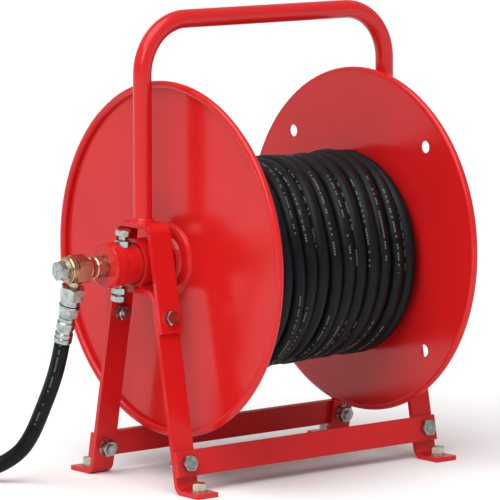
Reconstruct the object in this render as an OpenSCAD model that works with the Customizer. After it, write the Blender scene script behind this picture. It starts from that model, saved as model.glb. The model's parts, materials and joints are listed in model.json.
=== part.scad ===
// Portable hose reel: a drum of pressure hose turning in two A-frames under a carrying handle.
// The axle lies along X, the front is -Y, and the feet stand on z = 0.

/* [Drum] */
// Diameter of each flange over its rolled rim
flange_d = 440; // [420:1:446]
// Clear width between the two flanges
drum_w = 302; // [290:1:306]
// Thickness of the flange sheet
flange_t = 2; // [1.5:0.5:3]
// Diameter of the bead rolled into a flange's rim
rim_d = 10; // [8:0.5:12]
// Outside diameter of the core pipe that the hose is wound on
core_d = 120; // [116:1:142]
// Wall of the core pipe
core_t = 3; // [2:0.5:5]
// Diameter of the hub plate on each flange
hub_d = 88; // [76:1:96]
// Diameter of the circle of four holes in the plain flange
hole_circle_d = 364; // [320:4:368]
// Diameter of those four holes
hole_d = 15.5; // [10:0.5:16]

/* [Hose] */
// Outside diameter of the pressure hose
hose_d = 19.5; // [18:0.5:20]
// Width of the wound hose
wound_w = 284; // [260:2:288]
// Outside diameter of the wound hose
wound_d = 258; // [240:2:266]
// How far the winding hangs below the axle's middle
hose_sag = 15; // [0:1:16]

/* [Frame] */
// Height of the axle above the floor
axle_z = 275; // [265:1:290]
// Distance from the drum's middle to the middle of the inlet side's A-frame
frame_left_x = 195.5; // [192:0.5:200]
// Distance from the drum's middle to the middle of the plain side's A-frame
frame_right_x = 191.5; // [190:0.5:200]
// Width of the flat bar
bar_w = 32; // [25:1:36]
// Thickness of the flat bar
bar_t = 6; // [5:0.5:7]
// Lean of the A-frame's legs away from upright, in degrees
leg_lean = 11; // [9:0.5:12]
// Distance from the middle to the tip of each foot
foot_tip_y = 128; // [122:1:135]
// Distance from the middle to each foot bolt
foot_bolt_y = 110; // [107:1:114]
// Height of the rails' middle line
rail_z = 36; // [35:0.5:60]

/* [Handle] */
// Diameter of the handle tube
handle_d = 23; // [20:0.5:25]
// Distance from the drum's middle to the middle of each handle leg
handle_x = 195; // [190:1:199]
// Height of the handle bar's middle line above the axle
handle_rise = 295; // [285:1:310]
// Radius of the handle's two bends, to the middle of the tube
handle_bend = 66; // [50:1:80]
// Height of the handle brackets' underside above the axle
bracket_rise = 44; // [40:1:50]
// Reach of the handle brackets' legs below the axle
bracket_drop = 82; // [78:1:90]

/* [Bearings] */
// Outside diameter of the axle tubes
axle_d = 48.6; // [42:0.1:48.6]
// Wall of the axle tubes
axle_t = 4; // [3:0.5:5]
// Outside diameter of the bearing rings
ring_d = 60.5; // [58:0.5:60.5]
// Bore of the bearing rings
ring_bore = 53; // [52:0.1:54]
// Width of the bearing rings
ring_w = 34; // [32:1:38]
// Diameter of the end caps
cap_d = 56; // [52:1:58]

/* [Inlet] */
// Distance from the drum's middle to the face of the inlet end cap
inlet_face = 255; // [254:1:262]
// Distance from the drum's middle to the outer end of the plain end cap
plain_face = 221; // [219:1:230]
// Lean of the hose branch from straight down towards the rear, in degrees
branch_lean = 18; // [15:1:25]

/* [Hidden] */
// Place of the drum's middle: the reel's overall length is centred on x = 0
drum_x = 52;
half_w = drum_w / 2;
// Radial clearance of a shaft that turns in its bore
run_gap = 0.05;
// Gap between pieces that are welded or screwed together
seat_gap = 0.05;
// Radial clearance of a bolt in its hole
bolt_gap = 0.5;

// Fasteners: diameter, width across flats, head height, nut height
rail_bolt = [12, 19, 7.5, 10];
bracket_bolt = [10, 17, 6.5, 8];
clamp_bolt = [10, 17, 7.5, 8];
foot_bolt = [10, 16, 9, 0];
washer_t = 2;

// A-frame
ring_foot_z = axle_z - ring_d / 2;
web_z = ring_foot_z - bar_t / 2;
web_half = 40.2;
foot_half = web_half + tan(leg_lean) * (web_z - bar_t / 2);
web_bend = 14;
foot_bend = 12;
bracket_bolt_z = axle_z - 65;
bracket_bend = 11;
arc_steps = 10;

// Drum ends, as distances from the drum's middle
axle_inside = half_w - 11;
cap_depth = 17;
cap_wall = 4;
clamp_at = 228.5;
clamp_half = 9;
clamp_lean = 7;
clamp_nut_r = [28.5, 22.8];
clamp_head_r = [38.5, 36.5];
elbow_at = 100;
feed_d = 17.3;
feed_bore = 10;

// Inlet swivel, as distances from the drum's middle
stem_collar_end = inlet_face + 3;
stem_hex_start = inlet_face + 4;
stem_hex_end = inlet_face + 13;
body_start = stem_hex_end + 0.6;
branch_at = inlet_face + 41;
spindle_end = inlet_face + 50.5;
plug_seat = inlet_face + 56.5;
washer_end = plug_seat + 2.5;
plug_end = washer_end + 11;
spindle_d = 16;
plug_thread_d = 20;
body_d = 33;
body_flats = 29;
seal_places = [inlet_face + 28.5, inlet_face + 48];
seal_d = 2.2;
seal_groove = 2.35;

// Hose end fitting, as distances along its own line from the port that it screws on
port_end = 13;
port_d = 17;
tail_head_end = 14.9;
nut_hex_end = 16;
nut_end = 23;
tail_collar_start = 24;
tail_hex_start = 27;
tail_hex_end = 39;
tail_end = 46;
fitting_len = 74;
neck_d = 14.4;
union_af = 27;
tail_af = 22;
port_face = 23;
port_neck_d = 16;

// Free end of the wound hose: where it lies behind the drum
outlet_x = 126;
outlet_y = 143;
outlet_bend = 100;

// Inlet hose: where it leaves the fitting, round to the coil on the floor
hose_route = [
    [-244, 30, 182.7], [-244, 37, 161], [-244, 46, 139], [-244.5, 57, 117], [-246, 68, 96],
    [-248.5, 77.5, 76], [-253, 86, 57.5], [-260, 95, 41.5], [-270.5, 107, 28.5],
    [-284.5, 121.5, 18.5], [-301.5, 138, 12], [-319.5, 156.5, 10], [-338, 174.5, 10],
    [-356.5, 191.5, 10], [-375, 208.5, 10], [-394, 225, 10]
];
hose_sides = 12;
coil_centre = [-465, 145];
coil_r = 107;
coil_floor_z = 10;
coil_top_z = 29.2;
coil_end_angle = 300;
coil_climb_angle = 348;
supply_z = 33.4;

paint = [0.80, 0.12, 0.12];
dark_paint = [0.62, 0.09, 0.10];
zinc = [0.74, 0.76, 0.76];
brass = [0.72, 0.56, 0.40];
rubber_black = [0.06, 0.07, 0.07];
nylon_black = [0.10, 0.10, 0.11];

$fn = 64;
eps = 0.01;

// ---- Paths of bent flat bar -------------------------------------------------

function unit(v) = v / norm(v);
function left_of(v) = [-v[1], v[0]];
function turned(v, a) = [v[0] * cos(a) - v[1] * sin(a), v[0] * sin(a) + v[1] * cos(a)];

// One rounded corner at b, as [point, left normal] pairs
function corner(a, b, c, r) =
    let (
        back = unit(a - b),
        ahead = unit(c - b),
        half = acos(back * ahead) / 2,
        side = sign(cross([b[0] - a[0], b[1] - a[1]], [c[0] - b[0], c[1] - b[1]])),
        centre = b + unit(back + ahead) * r / sin(half),
        spoke = b + back * r / tan(half) - centre,
        turn = side * (180 - 2 * half)
    )
    [for (i = [0:arc_steps])
        let (s = turned(spoke, turn * i / arc_steps))
        [centre + s, -side * unit(s)]];

// A bar's middle line through points, with a bend radius at each inner point
function bar_line(points, radii) = concat(
    [[points[0], left_of(unit(points[1] - points[0]))]],
    [for (i = [1:len(points) - 2])
        each corner(points[i - 1], points[i], points[i + 1], radii[i - 1])],
    [[points[len(points) - 1],
        left_of(unit(points[len(points) - 1] - points[len(points) - 2]))]]
);

// Flat bar bent in the YZ plane, its width along X about x = 0
module bent_bar(points, radii) {
    line = bar_line(points, radii);
    last = len(line) - 1;
    outline = concat(
        [for (q = line) q[0] + q[1] * bar_t / 2],
        [for (i = [last:-1:0]) line[i][0] - line[i][1] * bar_t / 2]
    );
    rotate([90, 0, 90])
        linear_extrude(height = bar_w, center = true)
            polygon(outline);
}

// ---- Places -----------------------------------------------------------------

function leg_y(z) = web_half + tan(leg_lean) * (web_z - z);

// Middle of an A-frame along X: side is -1 for the inlet side and 1 for the plain side
function frame_at(side) = drum_x + (side < 0 ? -frame_left_x : frame_right_x);

// Children stand on a leg's middle line: +Y away from the reel, +Z up along the leg
module on_leg(x, side, height) {
    translate([x, 0, 0])
        mirror([0, side < 0 ? 1 : 0, 0])
            translate([0, leg_y(height), height])
                rotate([leg_lean, 0, 0])
                    children();
}

// The same place on every leg of both A-frames
module on_each_leg(height) {
    for (end = [-1, 1], side = [-1, 1])
        on_leg(frame_at(end), side, height)
            children();
}

// Children's +Z runs along the axle, away from the drum's middle on the given side
module on_axle(side) {
    translate([drum_x, 0, axle_z])
        rotate([0, 90, 0])
            mirror([0, 0, side < 0 ? 1 : 0])
                children();
}

// Children's +Z runs down the swivel's branch from the axle
module on_branch() {
    on_axle(-1)
        translate([0, 0, branch_at])
            rotate(branch_lean)
                rotate([0, 90, 0])
                    children();
}

// Children's +Z runs from the axle to the rear, inside the core
module on_lead_in() {
    translate([drum_x - elbow_at, 0, axle_z])
        rotate([-90, 0, 0])
            children();
}

// Children's +Z runs back along the free end of the wound hose, from its open end
module on_outlet() {
    translate([drum_x + outlet_x, outlet_y, axle_z - fitting_len])
        children();
}

// Children's +Z runs back along the supply end of the inlet hose, from its open end
module on_supply() {
    end = coil_end_angle;
    translate([coil_centre[0], coil_centre[1], supply_z])
        rotate(end)
            translate([coil_r, fitting_len, 0])
                rotate([90, 0, 0])
                    children();
}

// ---- Shared shapes ----------------------------------------------------------

module hex(af, h) {
    cylinder(d = af / cos(30), h = h, $fn = 6);
}

module ring(outer, bore, h) {
    difference() {
        cylinder(d = outer, h = h);
        translate([0, 0, -1])
            cylinder(d = bore, h = h + 2);
    }
}

// A hexagon with its corners turned down, as a bolt head or nut has
module turned_hex(af, h) {
    corner_r = af / cos(30) / 2;
    intersection() {
        hex(af, h);
        rotate_extrude()
            polygon([[0, 0], [af / 2, 0], [corner_r + 0.1, 0.8], [corner_r + 0.1, h - 1.2],
                [af / 2 - 0.5, h], [0, h]]);
    }
}

// Bolt with its head standing on z = 0 and its shank reaching down
module bolt(size, reach) {
    turned_hex(size[1], size[2]);
    translate([0, 0, -reach])
        cylinder(d = size[0], h = reach + eps);
}

module nut(size) {
    difference() {
        turned_hex(size[1], size[3]);
        translate([0, 0, -1])
            cylinder(d = size[0] + 2 * seat_gap, h = size[3] + 2);
    }
}

module union_nut() {
    difference() {
        union() {
            turned_hex(union_af, nut_hex_end);
            cylinder(d = 24, h = nut_end);
        }
        translate([0, 0, -1])
            cylinder(d = port_d + 2 * run_gap, h = tail_head_end + 1 + 0.1);
        cylinder(d = neck_d + 2 * run_gap, h = nut_end + 1);
    }
}

module fitting_tail() {
    difference() {
        union() {
            translate([0, 0, port_end + 0.1])
                cylinder(d = port_d - 0.6, h = tail_head_end - port_end - 0.1);
            translate([0, 0, tail_head_end - eps])
                cylinder(d = neck_d, h = tail_collar_start - tail_head_end + 1);
            translate([0, 0, tail_collar_start])
                cylinder(d = 26, h = tail_hex_start - tail_collar_start);
            translate([0, 0, tail_hex_start - eps])
                turned_hex(tail_af, tail_hex_end - tail_hex_start);
            translate([0, 0, tail_hex_end - 1])
                cylinder(d = 18.4, h = tail_end - tail_hex_end + 1);
            translate([0, 0, tail_hex_end + 2])
                cylinder(d = 20.8, h = 2.5);
        }
        translate([0, 0, port_end])
            cylinder(d = feed_bore - 2, h = tail_end);
    }
}

// Swaged ferrule with three crimped bands
module ferrule() {
    h = fitting_len - tail_end;
    r = hose_d / 2 + 1.5;
    translate([0, 0, tail_end])
        rotate_extrude()
            polygon([[0, 0], [r - 1.4, 0], [r - 0.2, 1.5], [r, 3], [r, 9], [r - 1.1, 11],
                [r - 1.1, 14], [r, 16], [r, 20], [r - 0.6, 21], [r, 22], [r, h - 1],
                [r - 0.8, h], [0, h]]);
}

// ---- Frame ------------------------------------------------------------------

module a_frame(side) {
    x = frame_at(side);
    difference() {
        translate([x, 0, 0])
            bent_bar([[-foot_tip_y, bar_t / 2], [-foot_half, bar_t / 2], [-web_half, web_z],
                [web_half, web_z], [foot_half, bar_t / 2], [foot_tip_y, bar_t / 2]],
                [foot_bend, web_bend, web_bend, foot_bend]);
        for (y = [-1, 1]) {
            on_leg(x, y, rail_z)
                rotate([90, 0, 0])
                    cylinder(d = rail_bolt[0] + 2 * bolt_gap, h = 4 * bar_t, center = true);
            on_leg(x, y, bracket_bolt_z)
                rotate([90, 0, 0])
                    cylinder(d = bracket_bolt[0] + 2 * bolt_gap, h = 4 * bar_t, center = true);
            translate([x, y * foot_bolt_y, -1])
                cylinder(d = foot_bolt[0] + 2 * bolt_gap, h = bar_t + 2);
        }
    }
}

module a_frame_left() { color(paint) a_frame(-1); }
module a_frame_right() { color(paint) a_frame(1); }

// The rails lie flat against the outside of the leaning legs
module rail(side) {
    start = frame_at(-1) - bar_w / 2;
    length = frame_at(1) + bar_w / 2 - start;
    on_leg(0, side, rail_z)
        difference() {
            translate([start, bar_t / 2, -bar_w / 2])
                cube([length, bar_t, bar_w]);
            for (end = [-1, 1])
                translate([frame_at(end), bar_t, 0])
                    rotate([90, 0, 0])
                        cylinder(d = rail_bolt[0] + 2 * bolt_gap, h = 2 * bar_t, center = true);
        }
}

module rail_front() { color(paint) rail(-1); }
module rail_rear() { color(dark_paint) rail(1); }

module handle_bracket(side) {
    x = frame_at(side);
    top_z = axle_z + bracket_rise + bar_t / 2;
    low_z = axle_z - bracket_drop;
    outset = bar_t / cos(leg_lean);
    difference() {
        translate([x, 0, 0])
            bent_bar([[-leg_y(low_z) - outset, low_z], [-leg_y(top_z) - outset, top_z],
                [leg_y(top_z) + outset, top_z], [leg_y(low_z) + outset, low_z]],
                [bracket_bend, bracket_bend]);
        for (y = [-1, 1])
            on_leg(x, y, bracket_bolt_z)
                rotate([90, 0, 0])
                    cylinder(d = bracket_bolt[0] + 2 * bolt_gap, h = 6 * bar_t, center = true);
    }
}

module handle_bracket_left() { color(paint) handle_bracket(-1); }
module handle_bracket_right() { color(paint) handle_bracket(1); }

// One bent tube with a weld at each foot
module handle_tube() {
    foot_z = axle_z + bracket_rise + bar_t;
    bend_z = axle_z + handle_rise - handle_bend;
    bend_x = handle_x - handle_bend;
    wall = 2.3;
    color(paint)
        translate([drum_x, 0, 0]) {
            for (side = [0, 1])
                mirror([side, 0, 0]) {
                    translate([handle_x, 0, foot_z])
                        ring(handle_d, handle_d - 2 * wall, bend_z - foot_z);
                    translate([bend_x, 0, bend_z])
                        rotate([90, 0, 0])
                            rotate_extrude(angle = 90)
                                translate([handle_bend, 0])
                                    difference() {
                                        circle(d = handle_d);
                                        circle(d = handle_d - 2 * wall);
                                    }
                    translate([handle_x, 0, foot_z])
                        rotate_extrude()
                            polygon([[handle_d / 2 - 1, 0], [handle_d / 2 + 4, 0],
                                [handle_d / 2 + 3.4, 1.4], [handle_d / 2 + 1.4, 2.4],
                                [handle_d / 2, 5], [handle_d / 2 - 1, 5]]);
                }
            translate([-bend_x, 0, axle_z + handle_rise])
                rotate([0, 90, 0])
                    ring(handle_d, handle_d - 2 * wall, 2 * bend_x);
        }
}

// Distance from the drum's middle to the near end of a bearing ring
function ring_start(side) = side * (frame_at(side) - drum_x) - ring_w / 2;

// Short pipe that holds the bush, welded on the A-frame's top
module bearing_ring(side) {
    on_axle(side)
        translate([0, 0, ring_start(side)])
            ring(ring_d, ring_bore, ring_w);
    for (y = [0, 1])
        translate([frame_at(side), 0, 0])
            mirror([0, y, 0])
                rotate([90, 0, 90])
                    linear_extrude(height = bar_w - 2, center = true)
                        polygon([[8, ring_foot_z], [20, ring_foot_z], [16.5, ring_foot_z + 5.5],
                            [9, ring_foot_z + 2]]);
}

module bearing_ring_left() { color(paint) bearing_ring(-1); }
module bearing_ring_right() { color(paint) bearing_ring(1); }

module bearing_bush(side) {
    on_axle(side)
        translate([0, 0, ring_start(side) + 0.5])
            ring(ring_bore - 2 * seat_gap, axle_d + 2 * run_gap, ring_w - 1);
}

module bearing_bush_left() { color(nylon_black) bearing_bush(-1); }
module bearing_bush_right() { color(nylon_black) bearing_bush(1); }

// ---- Fasteners --------------------------------------------------------------

// Through bolts: head on the outer bar, washer and nut inside the leg
module leg_bolts(size, height) {
    on_each_leg(height)
        translate([0, 1.5 * bar_t, 0])
            rotate([-90, 0, 0])
                bolt(size, 2 * bar_t + washer_t + size[3] + 3);
}

module leg_washers(size, height) {
    on_each_leg(height)
        translate([0, -bar_t / 2, 0])
            rotate([90, 0, 0])
                ring(size[1] + 3, size[0] + 2 * seat_gap, washer_t);
}

module leg_nuts(size, height) {
    on_each_leg(height)
        translate([0, -bar_t / 2 - washer_t, 0])
            rotate([90, 0, 0])
                nut(size);
}

module rail_bolts() { color(zinc) leg_bolts(rail_bolt, rail_z); }
module rail_washers() { color(zinc) leg_washers(rail_bolt, rail_z); }
module rail_nuts() { color(zinc) leg_nuts(rail_bolt, rail_z); }
module bracket_bolts() { color(zinc) leg_bolts(bracket_bolt, bracket_bolt_z); }
module bracket_washers() { color(zinc) leg_washers(bracket_bolt, bracket_bolt_z); }
module bracket_nuts() { color(zinc) leg_nuts(bracket_bolt, bracket_bolt_z); }

module on_each_foot(z) {
    for (end = [-1, 1], y = [-foot_bolt_y, foot_bolt_y])
        translate([frame_at(end), y, z])
            children();
}

module foot_bolts() {
    color(zinc)
        on_each_foot(bar_t + washer_t)
            bolt(foot_bolt, bar_t + washer_t - 0.5);
}

module foot_washers() {
    color(zinc)
        on_each_foot(bar_t)
            ring(20, foot_bolt[0] + 2 * seat_gap, washer_t);
}

// ---- Drum -------------------------------------------------------------------

// Sheet disc whose edge is rolled outwards into a bead
module flange(side) {
    on_axle(side)
        translate([0, 0, half_w])
            difference() {
                union() {
                    cylinder(d = flange_d - rim_d, h = flange_t, $fn = 180);
                    translate([0, 0, rim_d / 2 - 0.3])
                        rotate_extrude($fn = 180)
                            translate([(flange_d - rim_d) / 2, 0])
                                circle(d = rim_d, $fn = 32);
                }
                translate([0, 0, -1])
                    cylinder(d = axle_d + 2 * seat_gap, h = flange_t + 2);
                if (side > 0)
                    for (a = [45:90:315])
                        rotate(a)
                            translate([hole_circle_d / 2, 0, -1])
                                cylinder(d = hole_d, h = flange_t + 2);
            }
}

module flange_left() { color(paint) flange(-1); }
module flange_right() { color(paint) flange(1); }

// Stepped hub plate on the flange's outer face
module hub(side) {
    on_axle(side)
        translate([0, 0, half_w + flange_t])
            difference() {
                union() {
                    rotate_extrude()
                        polygon([[0, 0], [hub_d / 2, 0], [hub_d / 2, 2.5], [hub_d / 2 - 1, 4],
                            [hub_d / 2 - 2.8, 5], [hub_d / 2 - 6, 5.5], [0, 5.5]]);
                    cylinder(d1 = axle_d + 18, d2 = axle_d + 8, h = 9);
                }
                translate([0, 0, -1])
                    cylinder(d = axle_d + 2 * seat_gap, h = 12);
            }
}

module hub_left() { color(paint) hub(-1); }
module hub_right() { color(paint) hub(1); }

module drum_core() {
    color(paint)
        difference() {
            on_axle(1)
                translate([0, 0, -half_w])
                    ring(core_d, core_d - 2 * core_t, drum_w);
            on_lead_in()
                cylinder(d = hose_d + 4, h = core_d);
        }
}

module axle_tube_left() {
    color(paint)
        on_axle(-1)
            difference() {
                translate([0, 0, axle_inside])
                    ring(axle_d, axle_d - 2 * axle_t, inlet_face - cap_wall - axle_inside);
                translate([0, 0, clamp_at])
                    rotate(clamp_lean)
                        rotate([0, 90, 0])
                            cylinder(d = clamp_bolt[0] + 2 * seat_gap, h = 2 * axle_d,
                                center = true);
            }
}

module axle_tube_right() {
    color(paint)
        on_axle(1)
            translate([0, 0, axle_inside])
                ring(axle_d, axle_d - 2 * axle_t, plain_face - cap_wall - axle_inside);
}

// Cap over an axle tube's end
module end_cap(face, depth, bore) {
    difference() {
        translate([0, 0, face - depth])
            rotate_extrude()
                polygon([[0, 0], [cap_d / 2 - 1, 0], [cap_d / 2, 1], [cap_d / 2, depth - 2.5],
                    [cap_d / 2 - 0.7, depth - 0.7], [cap_d / 2 - 2.5, depth], [0, depth]]);
        translate([0, 0, face - depth - 1])
            cylinder(d = axle_d + 2 * seat_gap, h = depth - cap_wall + 1 + seat_gap);
        if (bore > 0)
            translate([0, 0, face - depth])
                cylinder(d = bore, h = depth + 1);
    }
}

module end_cap_left() {
    color(paint)
        on_axle(-1)
            end_cap(inlet_face, cap_depth, 21 + 2 * seat_gap);
}

module end_cap_right() {
    color(paint)
        on_axle(1)
            end_cap(plain_face, 9, 0);
}

// Round block in the axle tube that the two clamp bolts grip, with the feed pipe through it
module clamp_block() {
    color(zinc)
        on_axle(-1)
            translate([0, 0, clamp_at - clamp_half])
                ring(axle_d - 2 * axle_t - 2 * seat_gap, feed_d + 2 * seat_gap, 2 * clamp_half);
}

// The lower and the upper clamp bolt's line: children's +Z runs out from the axle
module on_clamp(i) {
    on_axle(-1)
        translate([0, 0, clamp_at])
            rotate(180 * i + clamp_lean)
                rotate([0, 90, 0])
                    rotate(30)
                        children();
}

module clamp_bolts() {
    inside_r = axle_d / 2 - axle_t + seat_gap;
    color(zinc)
        for (i = [0, 1])
            on_clamp(i)
                translate([0, 0, clamp_head_r[i]])
                    bolt(clamp_bolt, clamp_head_r[i] - inside_r);
}

// The upper nut is shaped to sit on the tube
module clamp_lock_nuts() {
    color(zinc)
        difference() {
            for (i = [0, 1])
                on_clamp(i)
                    translate([0, 0, clamp_nut_r[i]])
                        nut(clamp_bolt);
            on_axle(-1)
                translate([0, 0, clamp_at - bar_w])
                    cylinder(d = axle_d + 2 * seat_gap, h = 2 * bar_w);
        }
}

// ---- Water way inside the drum ----------------------------------------------

module feed_pipe() {
    color(zinc)
        on_axle(-1)
            translate([0, 0, elbow_at + 14])
                ring(feed_d, feed_bore, inlet_face - 14 - elbow_at - 14);
}

module feed_elbow() {
    color(brass)
        difference() {
            union() {
                on_axle(-1)
                    translate([0, 0, elbow_at - 12])
                        cylinder(d = 24, h = 26);
                on_lead_in()
                    cylinder(d = 20, h = 16);
            }
            on_axle(-1)
                translate([0, 0, elbow_at - 4])
                    cylinder(d = feed_bore, h = 30);
            on_lead_in()
                cylinder(d = feed_bore, h = 20);
        }
}

module lead_in_tail() {
    color(zinc)
        on_lead_in()
            translate([0, 0, 16])
                difference() {
                    turned_hex(tail_af, 12);
                    translate([0, 0, -1])
                        cylinder(d = feed_bore - 2, h = 14);
                }
}

module lead_in_ferrule() {
    color(zinc)
        on_lead_in()
            translate([0, 0, 28 - tail_end])
                ferrule();
}

module lead_in_hose() {
    start = 28 + fitting_len - tail_end;
    color(rubber_black)
        on_lead_in()
            translate([0, 0, start])
                cylinder(d = hose_d, h = core_d / 2 + 0.2 - start);
}

module wound_hose() {
    color(rubber_black)
        difference() {
            on_axle(1)
                translate([hose_sag, 0, -wound_w / 2])
                    rotate_extrude($fn = 120)
                        polygon([[0, 0], [wound_d / 2 - 6, 0], [wound_d / 2, 6],
                            [wound_d / 2, wound_w - 6], [wound_d / 2 - 6, wound_w],
                            [0, wound_w]]);
            on_axle(1)
                translate([0, 0, -wound_w])
                    cylinder(d = core_d + 0.6, h = 2 * wound_w);
        }
}

// The last of the wound hose comes off the top of the winding and hangs behind it
module outlet_hose_end() {
    color(rubber_black)
        translate([drum_x + outlet_x, outlet_y - outlet_bend, axle_z])
            rotate([0, -90, 0])
                rotate_extrude(angle = 70)
                    translate([outlet_bend, 0])
                        circle(d = hose_d, $fn = 32);
}

module outlet_ferrule() { color(zinc) on_outlet() ferrule(); }
module outlet_tail() { color(zinc) on_outlet() fitting_tail(); }
module outlet_union_nut() { color(zinc) on_outlet() union_nut(); }

// ---- Inlet swivel -----------------------------------------------------------

// Turns with the drum: screwed through the end cap, its spindle inside the swivel body
module swivel_stem() {
    color(brass)
        on_axle(-1)
            difference() {
                union() {
                    translate([0, 0, inlet_face - 14])
                        cylinder(d = 21, h = 14 + 1);
                    translate([0, 0, inlet_face])
                        cylinder(d = 27, h = stem_collar_end - inlet_face);
                    translate([0, 0, stem_collar_end - eps])
                        cylinder(d = 22.5, h = stem_hex_start - stem_collar_end + 1);
                    translate([0, 0, stem_hex_start])
                        turned_hex(24, stem_hex_end - stem_hex_start);
                    translate([0, 0, stem_hex_end - 1])
                        cylinder(d = spindle_d, h = spindle_end - stem_hex_end + 1);
                }
                translate([0, 0, inlet_face - 15])
                    cylinder(d = feed_bore - 2, h = spindle_end - inlet_face + 10);
                for (a = [0, 90])
                    translate([0, 0, branch_at])
                        rotate(a)
                            rotate([0, 90, 0])
                                cylinder(d = 6, h = spindle_d + 2, center = true);
            }
}

// Stays still on the hose while the stem turns in it
module swivel_body() {
    color(brass)
        difference() {
            union() {
                on_axle(-1) {
                    translate([0, 0, body_start])
                        rotate_extrude()
                            polygon([[0, 0], [13, 0], [13.8, 0.8], [13.8, 3], [12.8, 4],
                                [12.8, 6], [15, 13], [14.4, 14], [14.4, 34],
                                [body_d / 2, 35], [body_d / 2, plug_seat - body_start - 1],
                                [body_d / 2 - 1, plug_seat - body_start],
                                [0, plug_seat - body_start]]);
                    translate([0, 0, body_start + 14])
                        rotate(branch_lean)
                            intersection() {
                                translate([-body_flats / 2, -body_flats / 2, 0])
                                    cube([body_flats, body_flats, 20]);
                                cylinder(d = body_d + 3, h = 20);
                            }
                }
                on_branch() {
                    cylinder(d = port_neck_d, h = port_face + 2);
                    translate([0, 0, port_face + 1])
                        cylinder(d = port_d, h = port_end - 1);
                }
            }
            on_axle(-1) {
                translate([0, 0, body_start - 1])
                    cylinder(d = spindle_d + 2 * run_gap, h = plug_seat - body_start);
                translate([0, 0, spindle_end + 1])
                    cylinder(d = plug_thread_d + 2 * seat_gap, h = 20);
                for (z = seal_places)
                    translate([0, 0, z - seal_groove / 2])
                        cylinder(d = spindle_d + 2 * seal_groove, h = seal_groove);
            }
            on_branch()
                cylinder(d = feed_bore - 2, h = port_face + port_end + 1);
        }
}

module swivel_plug() {
    color(zinc)
        on_axle(-1)
            difference() {
                union() {
                    translate([0, 0, spindle_end + 1.2])
                        cylinder(d = plug_thread_d, h = washer_end - spindle_end);
                    translate([0, 0, washer_end])
                        rotate(15)
                            turned_hex(22, plug_end - washer_end);
                }
                translate([0, 0, plug_end - 1.2])
                    cylinder(d = 3, h = 2);
            }
}

module plug_washer() {
    color(brass)
        on_axle(-1)
            translate([0, 0, plug_seat])
                ring(29, plug_thread_d + 2 * seat_gap, washer_end - plug_seat);
}

module swivel_seals() {
    color(nylon_black)
        on_axle(-1)
            for (z = seal_places)
                translate([0, 0, z])
                    rotate_extrude()
                        translate([spindle_d / 2 + seal_groove / 2, 0])
                            circle(d = seal_d - 0.1, $fn = 24);
}

// ---- Inlet hose -------------------------------------------------------------

module on_inlet() {
    on_branch()
        translate([0, 0, port_face])
            children();
}

module inlet_union_nut() { color(zinc) on_inlet() union_nut(); }
module inlet_tail() { color(zinc) on_inlet() fitting_tail(); }
module inlet_ferrule() { color(zinc) on_inlet() ferrule(); }

function ahead(route, i) =
    unit(route[min(i + 1, len(route) - 1)] - route[max(i - 1, 0)]);

// One ring of points round the route's point i
function hose_ring(route, i, r) =
    let (
        t = ahead(route, i),
        u = unit(cross(t, [0.66, 0.75, 0])),
        v = cross(t, u)
    )
    [for (k = [0:hose_sides - 1])
        route[i] + r * (cos(360 * k / hose_sides) * u + sin(360 * k / hose_sides) * v)];

module swept_hose(route, d) {
    n = hose_sides;
    rings = len(route);
    points = [for (i = [0:rings - 1]) each hose_ring(route, i, d / 2)];
    sides = [for (i = [0:rings - 2], k = [0:n - 1])
        [i * n + k, i * n + (k + 1) % n, (i + 1) * n + (k + 1) % n, (i + 1) * n + k]];
    first = [for (k = [n - 1:-1:0]) k];
    last = [for (k = [0:n - 1]) (rings - 1) * n + k];
    polyhedron(points = points, faces = concat([first], sides, [last]), convexity = 4);
}

module inlet_hose() {
    color(rubber_black)
        swept_hose(hose_route, hose_d);
}

// Outer shape of the coil: one turn on the floor and most of a second on it
module inlet_hose_coil() {
    color(rubber_black)
        translate([coil_centre[0], coil_centre[1], 0]) {
            rotate_extrude($fn = 96)
                translate([coil_r, coil_floor_z])
                    circle(d = hose_d, $fn = 24);
            rotate(coil_climb_angle)
                rotate_extrude(angle = 360 + coil_end_angle - coil_climb_angle, $fn = 96)
                    translate([coil_r, coil_top_z])
                        circle(d = hose_d, $fn = 24);
        }
}

module supply_ferrule() { color(zinc) on_supply() ferrule(); }
module supply_tail() { color(zinc) on_supply() fitting_tail(); }
module supply_union_nut() { color(zinc) on_supply() union_nut(); }

// ---- Nodes ------------------------------------------------------------------

a_frame_left();
a_frame_right();
rail_front();
rail_rear();
handle_tube();
handle_bracket_left();
handle_bracket_right();
bearing_ring_left();
bearing_ring_right();
bearing_bush_left();
bearing_bush_right();
rail_bolts();
rail_washers();
rail_nuts();
bracket_bolts();
bracket_washers();
bracket_nuts();
foot_bolts();
foot_washers();
flange_left();
flange_right();
hub_left();
hub_right();
drum_core();
axle_tube_left();
axle_tube_right();
end_cap_left();
end_cap_right();
clamp_block();
clamp_bolts();
clamp_lock_nuts();
feed_pipe();
feed_elbow();
lead_in_tail();
lead_in_ferrule();
lead_in_hose();
wound_hose();
outlet_hose_end();
outlet_ferrule();
outlet_tail();
outlet_union_nut();
swivel_stem();
swivel_body();
swivel_plug();
plug_washer();
swivel_seals();
inlet_union_nut();
inlet_tail();
inlet_ferrule();
inlet_hose();
inlet_hose_coil();
supply_ferrule();
supply_tail();
supply_union_nut();
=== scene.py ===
import json
import math

import bpy
from mathutils import Matrix, Vector


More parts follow.
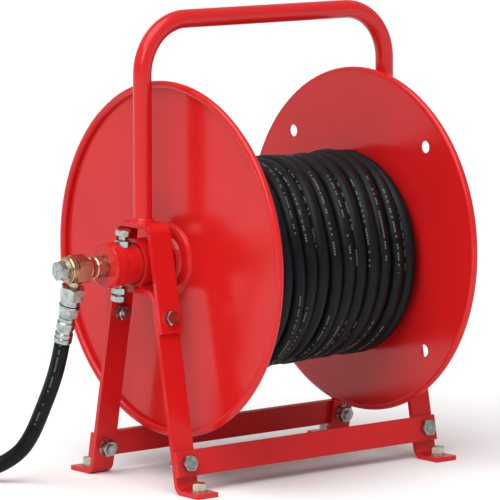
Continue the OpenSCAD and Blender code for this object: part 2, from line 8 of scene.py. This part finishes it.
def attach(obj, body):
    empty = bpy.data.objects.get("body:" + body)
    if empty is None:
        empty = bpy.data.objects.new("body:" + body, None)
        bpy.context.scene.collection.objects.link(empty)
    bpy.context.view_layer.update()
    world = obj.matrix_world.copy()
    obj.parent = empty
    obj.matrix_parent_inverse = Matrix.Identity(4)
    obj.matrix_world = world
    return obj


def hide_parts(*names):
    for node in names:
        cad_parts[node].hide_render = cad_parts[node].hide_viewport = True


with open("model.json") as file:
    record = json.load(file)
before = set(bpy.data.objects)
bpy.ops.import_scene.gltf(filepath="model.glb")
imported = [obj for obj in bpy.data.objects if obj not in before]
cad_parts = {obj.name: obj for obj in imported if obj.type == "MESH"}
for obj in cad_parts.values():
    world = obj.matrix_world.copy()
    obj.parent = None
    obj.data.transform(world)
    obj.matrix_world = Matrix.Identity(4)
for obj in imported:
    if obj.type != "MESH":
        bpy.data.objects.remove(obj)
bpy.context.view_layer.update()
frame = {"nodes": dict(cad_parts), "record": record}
nodes = frame["nodes"]

# Everything is in metres, with X along the axle from the inlet side to the plain side, Y to the
# rear and Z up
MM = 0.001
drum_middle = Vector((0.052, 0.0, 0.275))
hose_radius = 9.75 * MM


# ---- Camera -----------------------------------------------------------------

camera_data = bpy.data.cameras.new("camera")
camera_data.lens = 291.17
camera_data.sensor_width = 36.0
camera_data.clip_end = 50.0
camera = bpy.data.objects.new("camera", camera_data)
camera.location = (-3.1364, -3.8853, 0.9475)
camera.rotation_euler = (math.radians(82.361), 0.0, math.radians(-39.143))
bpy.context.scene.collection.objects.link(camera)
bpy.context.scene.camera = camera


# ---- Working helpers --------------------------------------------------------

def put_down_everything():
    if bpy.context.object and bpy.context.object.mode != "OBJECT":
        bpy.ops.object.mode_set(mode="OBJECT")
    bpy.ops.object.select_all(action="DESELECT")


def pick_up(piece):
    put_down_everything()
    piece.select_set(True)
    bpy.context.view_layer.objects.active = piece


def name_piece(name):
    piece = bpy.context.object
    piece.name = name
    piece.data.name = name
    return piece


def smooth_by_angle(piece, degrees):
    pick_up(piece)
    bpy.ops.object.shade_smooth_by_angle(angle=math.radians(degrees))


def finish_modifier(piece, kind, **settings):
    pick_up(piece)
    modifier = piece.modifiers.new(kind.lower(), kind)
    for key, value in settings.items():
        setattr(modifier, key, value)
    bpy.ops.object.modifier_apply(modifier=modifier.name)


def unit_of_turn(a):
    """The direction across the axle at angle a: 0 is to the rear and a quarter turn is up."""
    return Vector((0.0, math.cos(a), math.sin(a)))


def smooth_step(t):
    """From 0 to 1 as t does, level at both ends."""
    t = min(1.0, max(0.0, t))
    return t * t * (3 - 2 * t)


# ---- Hoses ------------------------------------------------------------------

# A level direction that no hose starts along, from which a hose's first ring is turned
ring_start = Vector((0.66, 0.75, 0.0))


def hose_along(name, points, radius, sides, facing=None, round_from=0.0):
    """Tube on a line of points, and its length. Its UV map runs in metres along the hose and once
    round it, and starts at round_from on the side that facing(point) gives."""
    count = len(points)
    ahead = []
    for i in range(count):
        step = points[min(i + 1, count - 1)] - points[max(i - 1, 0)]
        ahead.append(step.normalized())
    side = ahead[0].cross(ring_start)
    if side.length < 0.1:
        side = ahead[0].orthogonal()
    side.normalize()
    verts, along, distance = [], [], 0.0
    for i in range(count):
        if i:
            distance += (points[i] - points[i - 1]).length
            side = (side - ahead[i] * side.dot(ahead[i])).normalized()
        if facing:
            side = facing(points[i])
            side = (side - ahead[i] * side.dot(ahead[i])).normalized()
        up = ahead[i].cross(side)
        along.append(distance)
        for k in range(sides):
            a = 2 * math.pi * k / sides
            verts.append(points[i] + (side * math.cos(a) + up * math.sin(a)) * radius)
    faces = []
    for i in range(count - 1):
        for k in range(sides):
            n = (k + 1) % sides
            here, there = i * sides, (i + 1) * sides
            faces.append((here + k, here + n, there + n, there + k))
    faces.append(tuple(reversed(range(sides))))
    faces.append(tuple((count - 1) * sides + k for k in range(sides)))
    mesh = bpy.data.meshes.new(name)
    mesh.from_pydata([tuple(v) for v in verts], [], faces)
    layer = mesh.uv_layers.new(name="along")
    for face in mesh.polygons:
        if len(face.vertices) == 4:
            ring = face.index // sides
            k = face.index % sides
            corners = ((ring, k), (ring, k + 1), (ring + 1, k + 1), (ring + 1, k))
            for loop, (r, c) in zip(face.loop_indices, corners):
                layer.data[loop].uv = (along[r], c / sides + round_from)
    for face in mesh.polygons:
        face.use_smooth = len(face.vertices) == 4
    mesh.update()
    piece = bpy.data.objects.new(name, mesh)
    bpy.context.scene.collection.objects.link(piece)
    return piece, distance


def even_points(points, spacing):
    """A smooth spline through the points, with its own points about spacing apart."""
    line = []
    last = len(points) - 1
    for i in range(last):
        p0, p1 = points[max(i - 1, 0)], points[i]
        p2, p3 = points[i + 1], points[min(i + 2, last)]
        steps = max(1, round((p2 - p1).length / spacing))
        for s in range(steps):
            t = s / steps
            line.append(0.5 * (2 * p1 + (p2 - p0) * t + (2 * p0 - 5 * p1 + 4 * p2 - p3) * t * t
                               + (3 * p1 - p0 - 3 * p2 + p3) * t * t * t))
    line.append(points[last].copy())
    return line


# ---- Feed hose: down from the swivel, onto the floor, and into a loose coil of 1.7 turns ----

feed_route_mm = [
    (-244, 30, 182.7), (-244, 37, 161), (-244, 46, 139), (-244.5, 57, 117), (-246, 68, 96),
    (-248.5, 77.5, 76), (-253, 86, 57.5), (-260, 95, 41.5), (-270.5, 107, 28.5),
    (-284.5, 121.5, 18.5), (-301.5, 138, 12), (-319.5, 156.5, 10), (-338, 174.5, 10),
    (-356.5, 191.5, 10), (-375, 208.5, 10),
]
feed_spacing = 7 * MM
feed_sides = 20

coil_middle = Vector((-0.465, 0.145, 0.0))
coil_radius = 107 * MM

# Angles round the coil, in degrees
coil_from, coil_to = 48.4, 660.0
coil_step = 3.6
climb_from, climb_over = 300.0, 95.0
lift_from, lift_over = 628.0, 32.0

# The line's height on the floor, on top of the first turn, and at the end fitting
coil_floor = 10.0 * MM
coil_upper = 29.5 * MM
coil_last = 33.4 * MM


def coil_height(a):
    climb = smooth_step((a - climb_from) / climb_over)
    lift = smooth_step((a - lift_from) / lift_over)
    return coil_floor + (coil_upper - coil_floor) * climb + (coil_last - coil_upper) * lift


def coil_point(a):
    spoke = Vector((math.cos(math.radians(a)), math.sin(math.radians(a)), 0.0))
    return coil_middle + spoke * coil_radius + Vector((0.0, 0.0, coil_height(a)))


def feed_hose_line():
    down = [Vector(p) * MM for p in feed_route_mm]
    line = even_points(down + [coil_point(coil_from)], feed_spacing)
    steps = int((coil_to - coil_from) / coil_step)
    for i in range(1, steps + 1):
        line.append(coil_point(coil_from + (coil_to - coil_from) * i / steps))
    return line


feed_line = feed_hose_line()
feed_hose, feed_length = hose_along("feed_hose", feed_line, hose_radius, feed_sides)
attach(feed_hose, "frame")
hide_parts("inlet_hose", "inlet_hose_coil")


# ---- The winding: three layers, laid by hand, with its free end hanging behind ----

# Each layer: the radius of its hose's line, how far that circle hangs below the axle, its turns,
# and how far its first turn stands in from the winding's end. Layers run to and fro.
layers = ((70.0 * MM, 0.0, 14, 0.0), (87.5 * MM, 5.0 * MM, 13, 10.2 * MM),
          (120.6 * MM, 14.0 * MM, 14, 0.0))
outer_layer = len(layers) - 1
turn_pitch = 20.3 * MM
winding_half = 132 * MM
winding_sides = 14

# Angles in the way of winding, in degrees: 0 is the rear, 90 the bottom and 180 the front
step_angle = 7.5
crossover_start, crossover_end = 190.0, 262.0
layer_climb_start = 240.0
lowest_slack = 112.0

# The outer layer's first turns hang loosest, and its slack fades out over this much of its width
slack_width = 1.5 * winding_half
slack_drop = 8.5 * MM
slack_drop_varies = 3.5 * MM
first_turns_drop = 5.0 * MM
slack_sway = 7.0 * MM
uneven_radius = 2.2 * MM
uneven_place = 2.3 * MM

# Where round the hose its line of ink marks starts to be counted
marking_from = 0.38


def layer_way(layer):
    """1 for a layer that is wound towards the plain side, and -1 for one that comes back."""
    return 1 if layer % 2 == 0 else -1


def hand_laid(turn, layer, a):
    """Unevenness of a turn at an angle, from -1 to 1 and the same at every run. Each turn starts
    a golden angle, 2.399, on from the one before, so that no two are alike."""
    return math.sin(turn * 2.399 + layer * 1.7) * math.sin(math.radians(a) + turn * 1.13)


def layer_line(layer, turn, a):
    """Distance from the axle and place along it, with the loose layers hanging under the drum."""
    ring, sag, turns, inset = layers[layer]
    move = smooth_step((a - crossover_start) / (crossover_end - crossover_start))
    if turn == turns - 1:
        move = 0.0
    x = layer_way(layer) * (-winding_half + inset + (turn + move) * turn_pitch)
    fall = math.sin(math.radians(a))
    r = sag * fall + math.sqrt(ring ** 2 - (sag * math.cos(math.radians(a))) ** 2)
    return r, x


def climbed_to_next(layer, a, r, x):
    """The last turn of a layer rises to where the next layer starts."""
    next_r, next_x = layer_line(layer + 1, 0, 0.0)
    climb = smooth_step((a - layer_climb_start) / (360.0 - layer_climb_start))
    return r + (next_r - r) * climb, x + (next_x - x) * climb


def slackened(turn, a, r, x):
    """The outer layer's first turns hang loose, and lie across each other underneath."""
    layer = outer_layer
    slack = max(0.0, 1.0 - (x + winding_half) / slack_width)
    under = max(0.0, math.cos(math.radians(a - lowest_slack))) ** 2
    r += slack * under * (slack_drop + slack_drop_varies * math.sin(turn * 2.1))
    r += first_turns_drop * under * slack ** 3
    r += uneven_radius * hand_laid(turn, layer, a)
    x += uneven_place * hand_laid(turn, layer + 2, a + 40.0)
    x += layer_way(layer) * slack_sway * slack * under * math.sin(turn * 1.9)
    return r, x


def winding_line():
    points = []
    for layer, (_, _, turns, _) in enumerate(layers):
        for turn in range(turns):
            for s in range(int(360 / step_angle)):
                a = s * step_angle
                r, x = layer_line(layer, turn, a)
                if turn == turns - 1 and layer < outer_layer:
                    r, x = climbed_to_next(layer, a, r, x)
                if layer == outer_layer:
                    r, x = slackened(turn, a, r, x)
                points.append(drum_middle + Vector((x, 0.0, 0.0))
                              + unit_of_turn(math.radians(-a)) * r)
    return points


outlet_x = drum_middle.x + 126 * MM
outlet_y = 143 * MM
outlet_bend = 100 * MM
outlet_steps = 12
joint_spacing = 9 * MM

# In degrees: how far round the free end bends, and how much of the last turn it does away with
outlet_arc = 72.0
winding_cut_short = 84.0


def outlet_line():
    """The free end's arc over to the rear, which ends level with the axle and heading down."""
    middle = Vector((outlet_x, outlet_y - outlet_bend, drum_middle.z))
    points = []
    for i in range(outlet_steps + 1):
        a = math.radians(outlet_arc * (1 - i / outlet_steps))
        points.append(middle + unit_of_turn(a) * outlet_bend)
    return points


def wound_hose_line():
    """The last turn leaves the winding on top, before it comes round to the rear again."""
    winding = winding_line()
    winding = winding[:len(winding) - int(winding_cut_short / step_angle)]
    free = outlet_line()
    joint = even_points([winding[-2], winding[-1], free[1], free[2]], joint_spacing)
    return winding[:-2] + joint[:-1] + free[2:]


def away_from_axle(point):
    return Vector((0.0, point.y - drum_middle.y, point.z - drum_middle.z))


wound_line = wound_hose_line()
wound_hose, _ = hose_along("wound_pressure_hose", wound_line, hose_radius, winding_sides,
                           away_from_axle, marking_from)
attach(wound_hose, "drum")
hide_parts("wound_hose", "outlet_hose_end", "lead_in_hose")


# ---- Materials --------------------------------------------------------------

def linear(hex_colour):
    """sRGB hex, such as 'D01018', to the linear colour that the shader takes."""
    channels = []
    for i in (0, 2, 4):
        c = int(hex_colour[i:i + 2], 16) / 255.0
        channels.append(c / 12.92 if c <= 0.04045 else ((c + 0.055) / 1.055) ** 2.4)
    return (*channels, 1.0)


def add_node(tree, kind, links=None, values=None, stops=None, **settings):
    """Adds one node with its links, its unlinked values, its ramp's stops and its settings."""
    node = tree.nodes.new(kind)
    for key, value in settings.items():
        setattr(node, key, value)
    for key, value in (values or {}).items():
        node.inputs[key].default_value = value
    for key, source in (links or {}).items():
        tree.links.new(source, node.inputs[key])
    if stops:
        while len(node.color_ramp.elements) < len(stops):
            node.color_ramp.elements.new(0.5)
        for element, (place, colour) in zip(node.color_ramp.elements, stops):
            element.position = place
            element.color = colour
    return node


def new_material(name):
    material = bpy.data.materials.new(name)
    material.use_nodes = True
    tree = material.node_tree
    place = add_node(tree, "ShaderNodeTexCoord").outputs["Object"]
    return material, tree, tree.nodes["Principled BSDF"], place


def grey(value):
    return (value, value, value, 1.0)


def per_mm(size):
    """Texture scale that makes blotches about size millimetres across."""
    return 1.0 / (size * MM)


def signal_red_enamel():
    # Sprayed gloss enamel: a wet, even red, a little deeper where the coat is thick, hazed by
    # handling in soft patches, with a faint orange peel.
    material, tree, shader, place = new_material("gloss_red_enamel")
    coat = add_node(tree, "ShaderNodeTexNoise", {"Vector": place},
                    {"Scale": per_mm(90), "Detail": 3.0})
    red = add_node(tree, "ShaderNodeValToRGB", {"Fac": coat.outputs["Fac"]},
                   stops=[(0.30, linear("C61A1B")), (0.70, linear("CE1C1E"))])
    tree.links.new(red.outputs["Color"], shader.inputs["Base Color"])
    haze = add_node(tree, "ShaderNodeTexNoise", {"Vector": place},
                    {"Scale": per_mm(28), "Detail": 4.0, "Roughness": 0.6})
    rough = add_node(tree, "ShaderNodeValToRGB", {"Fac": haze.outputs["Fac"]},
                     stops=[(0.35, grey(0.16)), (0.75, grey(0.24))])
    tree.links.new(rough.outputs["Color"], shader.inputs["Roughness"])
    shader.inputs["IOR"].default_value = 1.45
    shader.inputs["Specular IOR Level"].default_value = 0.4
    # Orange peel is about 2 mm across, drawn at 4 mm so that it shows
    peel = add_node(tree, "ShaderNodeTexNoise", {"Vector": place},
                    {"Scale": per_mm(4), "Detail": 1.0})
    surface = add_node(tree, "ShaderNodeBump", {"Height": peel.outputs["Fac"]},
                       {"Distance": 0.02 * MM, "Strength": 0.6})
    tree.links.new(surface.outputs["Normal"], shader.inputs["Normal"])
    return material


def bright_zinc():
    # Zinc plating with a blue-white passivation: bright, faintly green-grey metal, with soft
    # milky patches and the fine marks of turning and forging under them.
    material, tree, shader, place = new_material("bright_zinc_plating")
    milk = add_node(tree, "ShaderNodeTexNoise", {"Vector": place},
                    {"Scale": per_mm(7), "Detail": 3.0, "Roughness": 0.55})
    colour = add_node(tree, "ShaderNodeValToRGB", {"Fac": milk.outputs["Fac"]},
                      stops=[(0.30, linear("8B9592")), (0.70, linear("C2C9C6"))])
    tree.links.new(colour.outputs["Color"], shader.inputs["Base Color"])
    shader.inputs["Metallic"].default_value = 1.0
    rough = add_node(tree, "ShaderNodeValToRGB", {"Fac": milk.outputs["Fac"]},
                     stops=[(0.30, grey(0.14)), (0.75, grey(0.26))])
    tree.links.new(rough.outputs["Color"], shader.inputs["Roughness"])
    # Turning marks are 0.2 mm apart, drawn at 0.7 mm so that they show
    marks = add_node(tree, "ShaderNodeTexNoise", {"Vector": place},
                     {"Scale": per_mm(0.7), "Detail": 2.0})
    surface = add_node(tree, "ShaderNodeBump", {"Height": marks.outputs["Fac"]},
                       {"Distance": 0.02 * MM, "Strength": 0.4})
    tree.links.new(surface.outputs["Normal"], shader.inputs["Normal"])
    return material


def yellow_zinc():
    # Zinc with a pale yellow chromate: light straw metal with a weak green and pink bloom.
    material, tree, shader, place = new_material("yellow_chromate_zinc")
    bloom = add_node(tree, "ShaderNodeTexNoise", {"Vector": place},
                     {"Scale": per_mm(6), "Detail": 3.0})
    colour = add_node(tree, "ShaderNodeValToRGB", {"Fac": bloom.outputs["Fac"]},
                      stops=[(0.30, linear("AFAB97")), (0.55, linear("D0CBB6")),
                             (0.75, linear("CBC3B8"))])
    tree.links.new(colour.outputs["Color"], shader.inputs["Base Color"])
    shader.inputs["Metallic"].default_value = 1.0
    shader.inputs["Roughness"].default_value = 0.28
    grain = add_node(tree, "ShaderNodeTexNoise", {"Vector": place},
                     {"Scale": per_mm(0.9), "Detail": 2.0})
    surface = add_node(tree, "ShaderNodeBump", {"Height": grain.outputs["Fac"]},
                       {"Distance": 0.02 * MM, "Strength": 0.4})
    tree.links.new(surface.outputs["Normal"], shader.inputs["Normal"])
    return material


def dull_nickel_brass():
    # Machined brass under thin nickel: warm pale metal, worn to a browner tone in patches.
    material, tree, shader, place = new_material("nickel_plated_brass")
    wear = add_node(tree, "ShaderNodeTexNoise", {"Vector": place},
                    {"Scale": per_mm(16), "Detail": 3.0, "Roughness": 0.5})
    colour = add_node(tree, "ShaderNodeValToRGB", {"Fac": wear.outputs["Fac"]},
                      stops=[(0.30, linear("A48C6C")), (0.55, linear("BDA88A")),
                             (0.78, linear("D2C8B4"))])
    tree.links.new(colour.outputs["Color"], shader.inputs["Base Color"])
    shader.inputs["Metallic"].default_value = 1.0
    rough = add_node(tree, "ShaderNodeValToRGB", {"Fac": wear.outputs["Fac"]},
                     stops=[(0.30, grey(0.28)), (0.75, grey(0.18))])
    tree.links.new(rough.outputs["Color"], shader.inputs["Roughness"])
    return material


def black_hose_cover():
    # Wrapped nitrile hose cover: soft black, a fine cross-wound cloth print left by curing, pale
    # scuffs where turns rub, and a line of worn ink dashes along one side.
    material, tree, shader, place = new_material("wrapped_hose_rubber_marked")
    along = add_node(tree, "ShaderNodeUVMap", uv_map="along").outputs["UV"]
    scuff = add_node(tree, "ShaderNodeTexNoise", {"Vector": place},
                     {"Scale": per_mm(14), "Detail": 4.0, "Roughness": 0.65})
    black = add_node(tree, "ShaderNodeValToRGB", {"Fac": scuff.outputs["Fac"]},
                     stops=[(0.35, linear("090C0D")), (0.72, linear("12181A"))])
    # The cloth print is a 0.8 mm weave, drawn as slanting bands 3.9 mm apart so that it shows:
    # a wave's bands are 2 pi / 20 / scale apart, and the map is in metres both ways once squared
    weave_scale = 80.0
    weave_slant = 0.8
    girth = 2 * math.pi * hose_radius
    squared = add_node(tree, "ShaderNodeMapping", {"Vector": along},
                       {"Scale": (1.0, girth, 1.0), "Rotation": (0.0, 0.0, weave_slant)})
    weave = add_node(tree, "ShaderNodeTexWave", {"Vector": squared.outputs["Vector"]},
                     {"Scale": weave_scale, "Distortion": 0.6, "Detail": 1.0},
                     bands_direction="X")
    print_height = add_node(tree, "ShaderNodeBump", {"Height": weave.outputs["Fac"]},
                            {"Distance": 0.05 * MM, "Strength": 0.35})
    surface = add_node(tree, "ShaderNodeBump", {"Height": scuff.outputs["Fac"],
                                                "Normal": print_height.outputs["Normal"]},
                       {"Distance": 0.15 * MM, "Strength": 0.4})
    tree.links.new(surface.outputs["Normal"], shader.inputs["Normal"])
    # Sockets 6 and 7 are the two colours and output 2 the mixed one
    printed = add_node(tree, "ShaderNodeMix",
                       {0: ink_dashes(tree, along), 6: black.outputs["Color"]},
                       {7: linear("757C78")}, data_type="RGBA")
    tree.links.new(printed.outputs[2], shader.inputs["Base Color"])
    rough = add_node(tree, "ShaderNodeValToRGB", {"Fac": scuff.outputs["Fac"]},
                     stops=[(0.30, grey(0.36)), (0.75, grey(0.46))])
    tree.links.new(rough.outputs["Color"], shader.inputs["Roughness"])
    shader.inputs["IOR"].default_value = 1.42
    shader.inputs["Specular IOR Level"].default_value = 0.2
    return material


def ink_dashes(tree, along):
    """A plain broken line, 2 mm wide, of dashes in groups, that wanders a little round the hose
    because a hose twists as it is wound."""
    dashes_per_metre, groups_per_metre = 300.0, 5.3
    gap_share, group_share = 0.25, 0.62
    # Shares of the way round the hose: where the line is, half its width, and how far it wanders
    line_at, line_half, wander_by = 0.27, 0.016, 0.08
    sway_per_metre = 2.3
    worn_share, ink_left = 0.42, 0.6
    split = add_node(tree, "ShaderNodeSeparateXYZ", {"Vector": along})
    run, turn = split.outputs["X"], split.outputs["Y"]

    # Each step is an operation on what it names: a number, or an earlier step's output
    steps = {"run": run, "turn": turn}
    for name, operation, first, second in (
            ("round", "FRACT", "turn", 0.0),
            ("twist", "MULTIPLY", "run", sway_per_metre),
            ("sway", "SINE", "twist", 0.0),
            ("wander", "MULTIPLY", "sway", wander_by),
            ("from_line", "SUBTRACT", "round", line_at),
            ("off", "SUBTRACT", "from_line", "wander"),
            ("distance", "ABSOLUTE", "off", 0.0),
            ("band", "LESS_THAN", "distance", line_half),
            ("dashes", "MULTIPLY", "run", dashes_per_metre),
            ("dash", "FLOOR", "dashes", 0.0),
            ("in_dash", "FRACT", "dashes", 0.0),
            ("gap", "GREATER_THAN", "in_dash", gap_share),
            ("groups", "MULTIPLY", "run", groups_per_metre),
            ("in_group", "FRACT", "groups", 0.0),
            ("group", "LESS_THAN", "in_group", group_share),
            ("grouped", "MULTIPLY", "gap", "group"),
            ("line", "MULTIPLY", "band", "grouped")):
        links = {0: steps[first]}
        values = {}
        if isinstance(second, str):
            links[1] = steps[second]
        else:
            values[1] = second
        steps[name] = add_node(tree, "ShaderNodeMath", links, values,
                               operation=operation).outputs[0]
    # About two dashes in five are worn away, and the rest have faded
    worn = add_node(tree, "ShaderNodeTexWhiteNoise", {"W": steps["dash"]}, noise_dimensions="1D")
    left = add_node(tree, "ShaderNodeMath", {0: worn.outputs["Value"]}, {1: worn_share},
                    operation="GREATER_THAN")
    shown = add_node(tree, "ShaderNodeMath", {0: steps["line"], 1: left.outputs[0]},
                     operation="MULTIPLY")
    return add_node(tree, "ShaderNodeMath", {0: shown.outputs[0]}, {1: ink_left},
                    operation="MULTIPLY").outputs[0]


def black_nylon():
    # Moulded nylon: dense black with a low, even sheen.
    material, tree, shader, place = new_material("black_nylon")
    grain = add_node(tree, "ShaderNodeTexNoise", {"Vector": place},
                     {"Scale": per_mm(1.5), "Detail": 3.0})
    colour = add_node(tree, "ShaderNodeValToRGB", {"Fac": grain.outputs["Fac"]},
                      stops=[(0.3, linear("151516")), (0.7, linear("1E1F20"))])
    tree.links.new(colour.outputs["Color"], shader.inputs["Base Color"])
    shader.inputs["Roughness"].default_value = 0.45
    shader.inputs["IOR"].default_value = 1.53
    return material


def nitrile_seal():
    # O-ring rubber: matt black, very slightly dusty.
    material, tree, shader, place = new_material("nitrile_seal")
    dust = add_node(tree, "ShaderNodeTexNoise", {"Vector": place},
                    {"Scale": per_mm(2), "Detail": 3.0})
    colour = add_node(tree, "ShaderNodeValToRGB", {"Fac": dust.outputs["Fac"]},
                      stops=[(0.4, linear("101011")), (0.8, linear("1C1C1C"))])
    tree.links.new(colour.outputs["Color"], shader.inputs["Base Color"])
    shader.inputs["Roughness"].default_value = 0.6
    return material


enamel = signal_red_enamel()
zinc = bright_zinc()
yellow = yellow_zinc()
brass = dull_nickel_brass()
hose_cover = black_hose_cover()
nylon = black_nylon()
seal_rubber = nitrile_seal()

by_slot = {"red_enamel": enamel, "zinc_steel": zinc, "yellow_zinc_steel": yellow,
           "nickelled_brass": brass, "hose_rubber": hose_cover, "black_nylon": nylon,
           "seal_rubber": seal_rubber}
node_slots = {s["node"]: s["material_slot"] for s in frame["record"]["subparts"]}


def paint(piece, material):
    piece.data.materials.clear()
    piece.data.materials.append(material)


for node_name, node_object in nodes.items():
    for material_slot in node_object.material_slots:
        material_slot.material = by_slot[node_slots[node_name]]
paint(feed_hose, hose_cover)
paint(wound_hose, hose_cover)


# ---- Softened edges of the flat bars ----------------------------------------

bar_edge = 0.9 * MM
same_point = 0.002 * MM

# Angles between two faces, in degrees
flat_within = 0.4
sharp_from = 30
smooth_up_to = 40


def softened(node_name, edge, body):
    """A copy of a part with its sharp edges broken, as paint and tumbling leave them."""
    piece = bpy.data.objects.new("soft_" + node_name, nodes[node_name].data.copy())
    bpy.context.scene.collection.objects.link(piece)
    pick_up(piece)
    bpy.ops.object.mode_set(mode="EDIT")
    bpy.ops.mesh.select_all(action="SELECT")
    bpy.ops.mesh.remove_doubles(threshold=same_point)
    bpy.ops.mesh.dissolve_limited(angle_limit=math.radians(flat_within))
    bpy.ops.mesh.select_all(action="DESELECT")
    bpy.ops.object.mode_set(mode="OBJECT")
    finish_modifier(piece, "BEVEL", width=edge, segments=2, limit_method="ANGLE",
                    angle_limit=math.radians(sharp_from), use_clamp_overlap=True,
                    harden_normals=False)
    smooth_by_angle(piece, smooth_up_to)
    # Flat faces keep their own normals, and the broken edges blend into them
    finish_modifier(piece, "WEIGHTED_NORMAL", keep_sharp=True)
    paint(piece, by_slot[node_slots[node_name]])
    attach(piece, body)
    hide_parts(node_name)


for bar in ("a_frame_left", "a_frame_right", "rail_front", "rail_rear",
            "handle_bracket_left", "handle_bracket_right"):
    softened(bar, bar_edge, "frame")


# ---- Weld beads -------------------------------------------------------------

slow_swell = 0.06


def weld_bead(name, centre, axis, radius, thickness, body, ripples, uneven=0.10):
    """A painted fillet weld round a joint, with the ripple of its run. It also swells slowly,
    from a place that differs with its radius."""
    bpy.ops.mesh.primitive_torus_add(
        location=(0.0, 0.0, 0.0), major_radius=radius, minor_radius=thickness,
        major_segments=ripples * 6, minor_segments=10)
    bead = name_piece(name)
    for vertex in bead.data.vertices:
        a = math.atan2(vertex.co.y, vertex.co.x)
        spoke = Vector((math.cos(a), math.sin(a), 0.0)) * radius
        slow = slow_swell * math.sin(a * 3.0 + radius * 900.0)
        swell = 1.0 + uneven * math.sin(a * ripples) + slow
        vertex.co = spoke + (vertex.co - spoke) * swell
    turn = Vector((0.0, 0.0, 1.0)).rotation_difference(Vector(axis)).to_matrix().to_4x4()
    bead.data.transform(Matrix.Translation(centre) @ turn)
    for face in bead.data.polygons:
        face.use_smooth = True
    paint(bead, enamel)
    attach(bead, body)


axle_radius = 24.3 * MM
handle_x = 195 * MM
handle_foot_z = 325.4 * MM
cap_x = 238.4 * MM

# Each of the drum's welds: its place out from the drum's middle, radius, thickness, number of
# ripples and how deep they are
drum_welds = {
    "hub_weld": (153.6 * MM, 44.0 * MM, 1.7 * MM, 46, 0.03),
    "axle_weld": (162.3 * MM, axle_radius + 1.2 * MM, 2.4 * MM, 28, 0.10),
    "core_weld": (150.4 * MM, 60.5 * MM, 2.2 * MM, 50, 0.05),
}


def on_axle(x):
    return drum_middle + Vector((x, 0.0, 0.0))


for side, label in ((-1, "left"), (1, "right")):
    for name, (out, radius, thickness, ripples, uneven) in drum_welds.items():
        weld_bead(f"{name}_{label}", on_axle(side * out), (1, 0, 0), radius, thickness, "drum",
                  ripples, uneven)
    foot_of_handle = Vector((drum_middle.x + side * handle_x, 0.0, handle_foot_z))
    weld_bead(f"handle_weld_{label}", foot_of_handle, (0, 0, 1), 12.4 * MM, 2.0 * MM,
              "frame", 15)
weld_bead("cap_weld_left", on_axle(-cap_x), (1, 0, 0), axle_radius + 1.0 * MM, 1.8 * MM,
          "drum", 28)


# ---- Floor and light --------------------------------------------------------

def pale_floor():
    # Seamless matt paper, with only the faintest unevenness.
    material, tree, shader, place = new_material("studio_paper")
    cloud = add_node(tree, "ShaderNodeTexNoise", {"Vector": place},
                     {"Scale": per_mm(600), "Detail": 2.0})
    colour = add_node(tree, "ShaderNodeValToRGB", {"Fac": cloud.outputs["Fac"]},
                      stops=[(0.3, linear("F4F4F4")), (0.7, linear("F8F8F8"))])
    tree.links.new(colour.outputs["Color"], shader.inputs["Base Color"])
    shader.inputs["Roughness"].default_value = 0.9
    return material


put_down_everything()
bpy.ops.mesh.primitive_plane_add(size=90.0, location=(0.0, 0.0, 0.0))
floor = name_piece("floor")
paint(floor, pale_floor())


def soft_light(name, place, target, size, power):
    light = bpy.data.lights.new(name, "AREA")
    light.shape = "SQUARE"
    light.size = size
    light.energy = power
    lamp = bpy.data.objects.new(name, light)
    lamp.location = place
    aim = Vector(target) - Vector(place)
    lamp.rotation_euler = aim.to_track_quat("-Z", "Y").to_euler()
    bpy.context.scene.collection.objects.link(lamp)


soft_light("key", place=(-2.2, -1.4, 1.7), target=(0.0, 0.0, 0.3), size=1.0, power=14.0)

# A broad overhead light, the same over the whole floor
overhead = bpy.data.lights.new("overhead", "SUN")
overhead.energy = 2.5
overhead.angle = math.radians(60.0)
overhead_lamp = bpy.data.objects.new("overhead", overhead)
overhead_lamp.rotation_euler = Vector((0.40, 0.15, -0.90)).to_track_quat("-Z", "Y").to_euler()
bpy.context.scene.collection.objects.link(overhead_lamp)

world = bpy.data.worlds.new("studio")
world.use_nodes = True
world.node_tree.nodes["Background"].inputs["Color"].default_value = (1.0, 1.0, 1.0, 1.0)
world.node_tree.nodes["Background"].inputs["Strength"].default_value = 0.48
bpy.context.scene.world = world
bpy.context.scene.view_settings.view_transform = "Standard"
